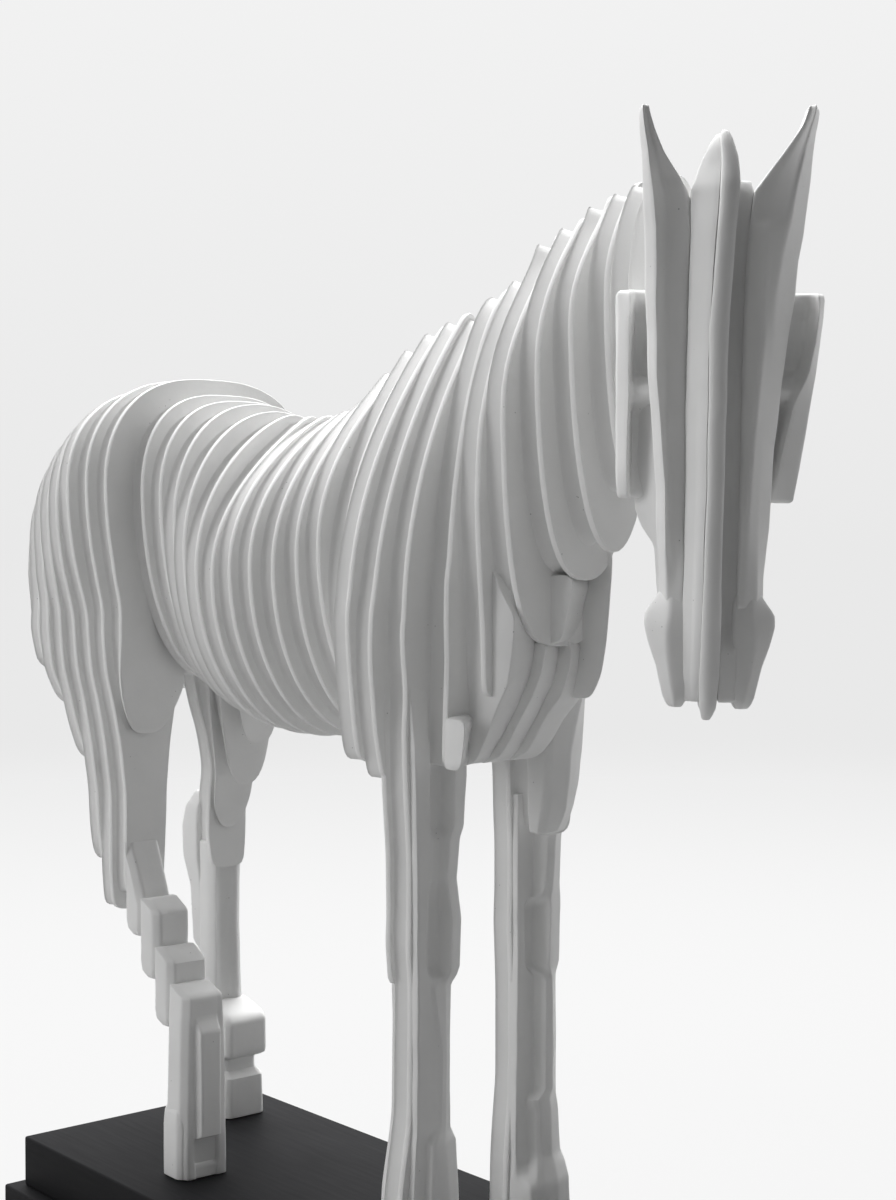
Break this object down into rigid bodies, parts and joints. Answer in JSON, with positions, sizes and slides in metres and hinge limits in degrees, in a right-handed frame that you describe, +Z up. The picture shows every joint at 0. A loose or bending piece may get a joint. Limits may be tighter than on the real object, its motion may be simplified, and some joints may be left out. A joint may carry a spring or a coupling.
{
  "type": "horse figurine",
  "caption": "Standing horse built from upright glued plates with proud rims, head turned to one side, screwed to a stepped rectangular plinth.",
  "frame": {"origin": "centre of the underside of the felt sheet under the plinth", "axes": "+X forward along the horse's body, +Y to the horse's left, +Z up"},
  "size_m": [0.4237, 0.122, 0.397],
  "materials": {
    "plaster": "matt white cast resin or plaster with small pits",
    "plinth": "satin black paint",
    "felt": "felt",
    "steel": "plated"
  },
  "bodies": {
    "root": {"rump_1": "plaster", "rump_2": "plaster", "rump_3": "plaster", "rump_4": "plaster", "rump_5": "plaster", "haunch_1": "plaster", "haunch_2": "plaster", "haunch_3": "plaster", "haunch_4": "plaster", "haunch_5": "plaster", "flank_1": "plaster", "flank_2": "plaster", "barrel_1": "plaster", "barrel_2": "plaster", "barrel_3": "plaster", "barrel_4": "plaster", "barrel_5": "plaster", "barrel_6": "plaster", "barrel_7": "plaster", "barrel_8": "plaster", "barrel_9": "plaster", "shoulder_1": "plaster", "shoulder_2": "plaster", "shoulder_3": "plaster", "shoulder_4": "plaster", "neck_1": "plaster", "neck_2": "plaster", "neck_3": "plaster", "neck_4": "plaster", "neck_5": "plaster", "neck_6": "plaster", "neck_7": "plaster", "neck_8": "plaster", "brisket_ribs": "plaster", "chest_keel": "plaster", "breast_keel": "plaster", "foreleg_right_strip": "plaster", "foreleg_left_strip": "plaster", "foreleg_left_block": "plaster", "hind_right_hock": "plaster", "hind_right_slab_1": "plaster", "hind_right_slab_2": "plaster", "hind_right_hoof": "plaster", "hind_left_cannon_rear": "plaster", "hind_left_cannon_front": "plaster", "hind_left_hoof": "plaster", "head_ridge": "plaster", "face_right": "plaster", "face_left": "plaster", "ear_right": "plaster", "ear_left": "plaster", "jaw_right": "plaster", "jaw_left": "plaster", "cheek_right": "plaster", "cheek_left": "plaster", "nostrils": "plaster", "plinth_upper": "plinth", "plinth_lower": "plinth", "felt": "felt", "screws": "steel"}
  },
  "joints": []
}
